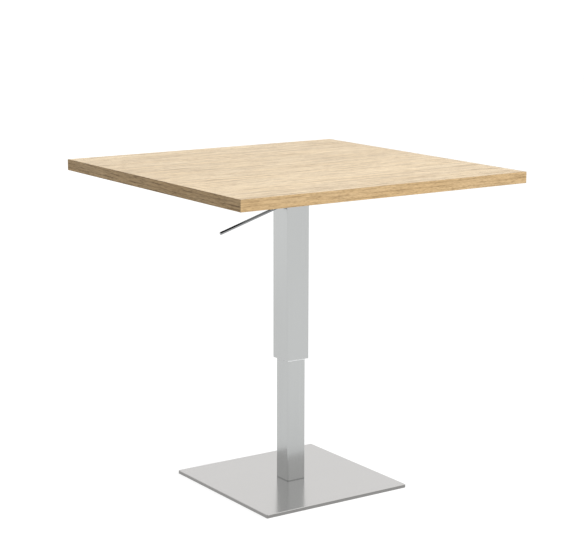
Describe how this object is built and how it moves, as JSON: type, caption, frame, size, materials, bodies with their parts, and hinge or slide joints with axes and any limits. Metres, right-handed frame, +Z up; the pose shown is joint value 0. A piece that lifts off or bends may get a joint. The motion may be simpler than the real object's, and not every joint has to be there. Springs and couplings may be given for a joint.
{
  "type": "telescoping pedestal table",
  "caption": "Square wood-topped pedestal table on a telescoping square steel column with a gas-spring release lever and a flat square foot plate.",
  "frame": {"origin": "on the floor under the middle of the foot plate, on the column's axis", "axes": "+Z up along the column; +X along the grain of the top; the release lever points along -X"},
  "size_m": [0.75, 0.75, 0.75],
  "materials": {
    "oak_face": "clear-lacquered oak veneer, straight fine grain",
    "oak_edge": "clear-lacquered oak edge strip, grain along the edge",
    "board_core": "raw particle board",
    "under_face": "matt black balancing laminate",
    "stainless_tube": "stainless, fine grain along the tube",
    "stainless_plate": "stainless, fine straight grain, bright bevel",
    "black_steel": "fine-textured black powder coat",
    "zinc_steel": "bright zinc plating",
    "satin_lever": "satin chrome",
    "bright_rod": "hard chrome",
    "guide_plastic": "light grey acetal",
    "glide_plastic": "black nylon"
  },
  "bodies": {
    "base": {"base_plate": "stainless_plate", "foot_flange": "zinc_steel", "base_screws": "zinc_steel", "inner_tube": "stainless_tube", "upper_guide": "guide_plastic", "gas_cylinder": "black_steel", "cylinder_end_plug": "zinc_steel", "cylinder_locknut": "zinc_steel", "rod_guide": "zinc_steel"},
    "upper": {"outer_tube": "stainless_tube", "lower_guide": "guide_plastic", "piston": "zinc_steel", "piston_rod": "bright_rod", "rod_nut_lower": "zinc_steel", "rod_nut_upper": "zinc_steel", "release_yoke": "zinc_steel", "pivot_bolt": "zinc_steel", "pivot_nut": "zinc_steel", "top_plate": "zinc_steel", "tabletop_screws": "zinc_steel", "tabletop_core": "board_core", "under_veneer": "under_face", "top_veneer": "oak_face", "edge_strip_front": "oak_edge", "edge_strip_back": "oak_edge", "edge_strip_left": "oak_edge", "edge_strip_right": "oak_edge"},
    "lever": {"lever_hub": "zinc_steel", "lever_rod": "satin_lever"},
    "release_pin": {"release_pin": "zinc_steel"},
    "glide_front_left": {"glide_foot_front_left": "glide_plastic"},
    "glide_front_right": {"glide_foot_front_right": "glide_plastic"},
    "glide_back_left": {"glide_foot_back_left": "glide_plastic"},
    "glide_back_right": {"glide_foot_back_right": "glide_plastic"}
  },
  "joints": [
    {"name": "column_lift", "type": "slide", "parent": "base", "child": "upper", "axis": [0, 0, 1], "range_m": [-0.25, 0]},
    {"name": "lever_pivot", "type": "hinge", "parent": "upper", "child": "lever", "pos_m": [-0.013, 0, 0.66435], "axis": [0, 1, 0], "range_deg": [0, 9], "stiffness_Nm_per_rad": 4, "springref_deg": -11.46},
    {"name": "pin_press", "type": "slide", "parent": "upper", "child": "release_pin", "axis": [0, 0, 1], "range_m": [-0.0021, 0]},
    {"name": "glide_front_left_screw", "type": "slide", "parent": "base", "child": "glide_front_left", "axis": [0, 0, -1], "range_m": [0, 0.003]},
    {"name": "glide_front_right_screw", "type": "slide", "parent": "base", "child": "glide_front_right", "axis": [0, 0, -1], "range_m": [0, 0.003]},
    {"name": "glide_back_left_screw", "type": "slide", "parent": "base", "child": "glide_back_left", "axis": [0, 0, -1], "range_m": [0, 0.003]},
    {"name": "glide_back_right_screw", "type": "slide", "parent": "base", "child": "glide_back_right", "axis": [0, 0, -1], "range_m": [0, 0.003]}
  ],
  "couplings": [
    {"joint": "pin_press", "follows": "lever_pivot", "m_per_rad": -0.01325}
  ]
}
